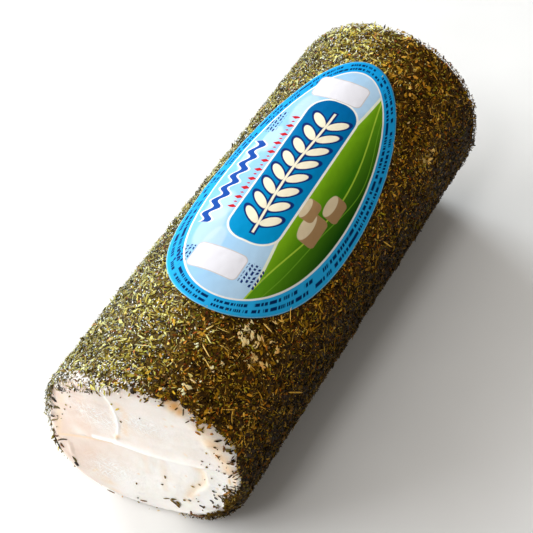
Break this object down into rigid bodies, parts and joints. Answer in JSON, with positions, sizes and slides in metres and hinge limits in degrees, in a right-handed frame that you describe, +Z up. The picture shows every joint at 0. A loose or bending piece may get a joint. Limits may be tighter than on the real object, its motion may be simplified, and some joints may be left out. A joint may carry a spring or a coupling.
{
  "type": "herbed goat cheese log",
  "caption": "Cylindrical fresh goat cheese log lying on its side, coated in dried herbs, with a bare cut end and an oval paper label on top.",
  "frame": {"origin": "under the middle of the log, on the flat spot that it rests on", "axes": "+X along the log from the bare cut end to the back end, +Z up through the label; the label reads upright from the front, -Y"},
  "size_m": [0.204, 0.081, 0.079],
  "materials": {
    "cheese": "moist, smooth, softly translucent fresh cheese paste with knife smears and a few herb flecks",
    "herbs": "dried herb bits, dark olive to brown with straw-coloured stems, lightly oiled",
    "label": "gloss-coated printed paper in blues, white and green, without lettering"
  },
  "bodies": {
    "root": {"goat_cheese": "cheese", "herb_coat": "herbs", "paper_label": "label"}
  },
  "joints": []
}
